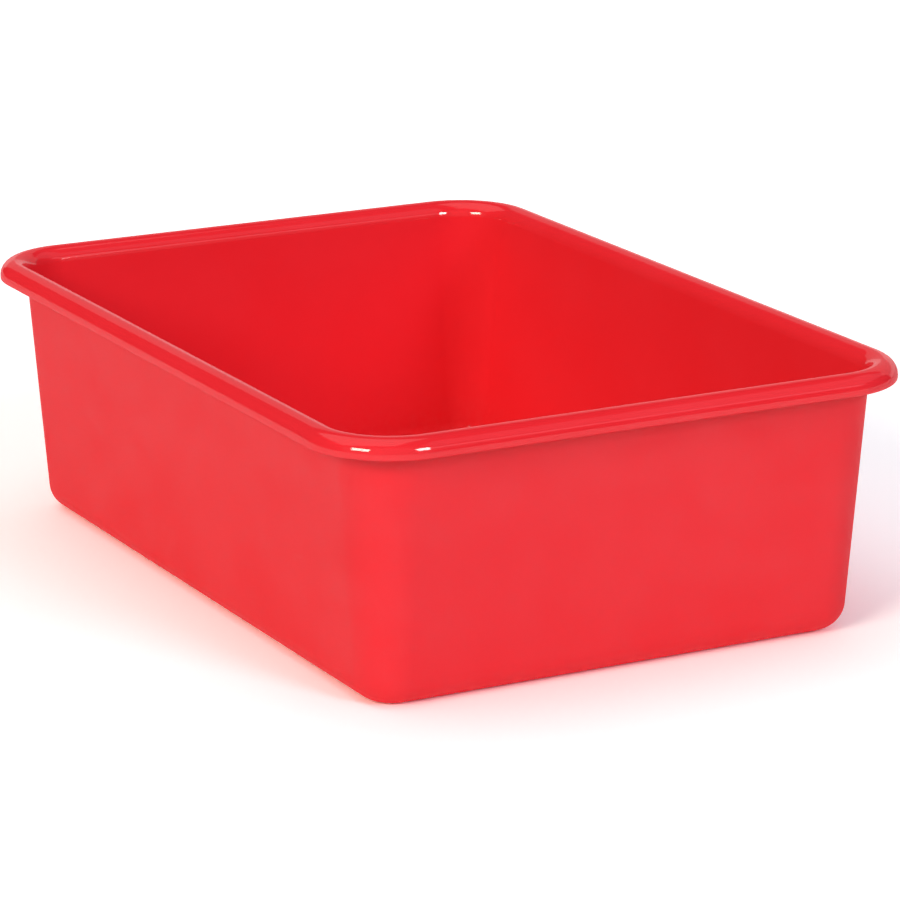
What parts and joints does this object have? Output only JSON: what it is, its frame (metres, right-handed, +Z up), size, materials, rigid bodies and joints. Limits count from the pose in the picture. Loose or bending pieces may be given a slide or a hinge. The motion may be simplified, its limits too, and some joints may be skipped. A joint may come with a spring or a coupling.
{
  "type": "storage tub",
  "caption": "Open rectangular plastic storage tub with leaning walls, rounded corners and a rolled rim, for art and classroom supplies.",
  "frame": {"origin": "middle of the base, on the surface the tub stands on", "axes": "+X along the tub's length, +Y along its width, +Z up through the open mouth"},
  "size_m": [0.413, 0.292, 0.127],
  "materials": {
    "red_plastic": "satin moulded walls, glossy rim"
  },
  "bodies": {
    "root": {"tub": "red_plastic"}
  },
  "joints": []
}
